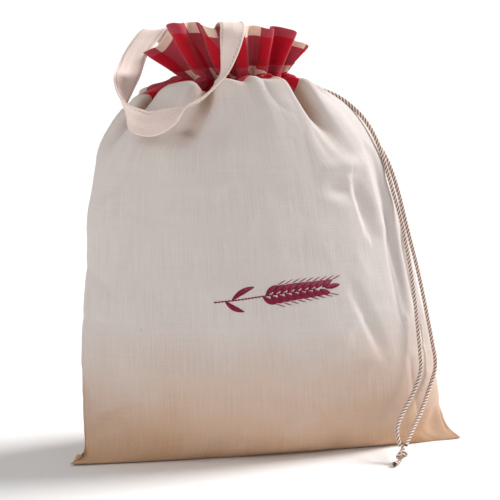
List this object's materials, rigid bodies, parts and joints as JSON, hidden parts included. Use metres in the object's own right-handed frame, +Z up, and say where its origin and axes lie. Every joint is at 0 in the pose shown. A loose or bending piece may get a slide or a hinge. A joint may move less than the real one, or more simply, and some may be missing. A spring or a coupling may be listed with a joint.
{
  "type": "bread bag",
  "caption": "Standing calico drawstring bag with a gathered check frill, a tape hanging loop and a knotted cord.",
  "frame": {"origin": "on the table, under the middle of the bag and its loop, without the drawstring", "axes": "+X to the right of the bag seen from the front, +Y to its back, +Z up"},
  "size_m": [0.3733, 0.1706, 0.3994],
  "materials": {
    "calico": "matt",
    "check": "matt",
    "tape": "matt",
    "cord": "matt"
  },
  "bodies": {
    "root": {"sack": "calico", "check_heading": "check", "hanging_loop": "tape", "drawstring_left": "cord", "drawstring_right": "cord", "drawstring_knot": "cord"}
  },
  "joints": []
}
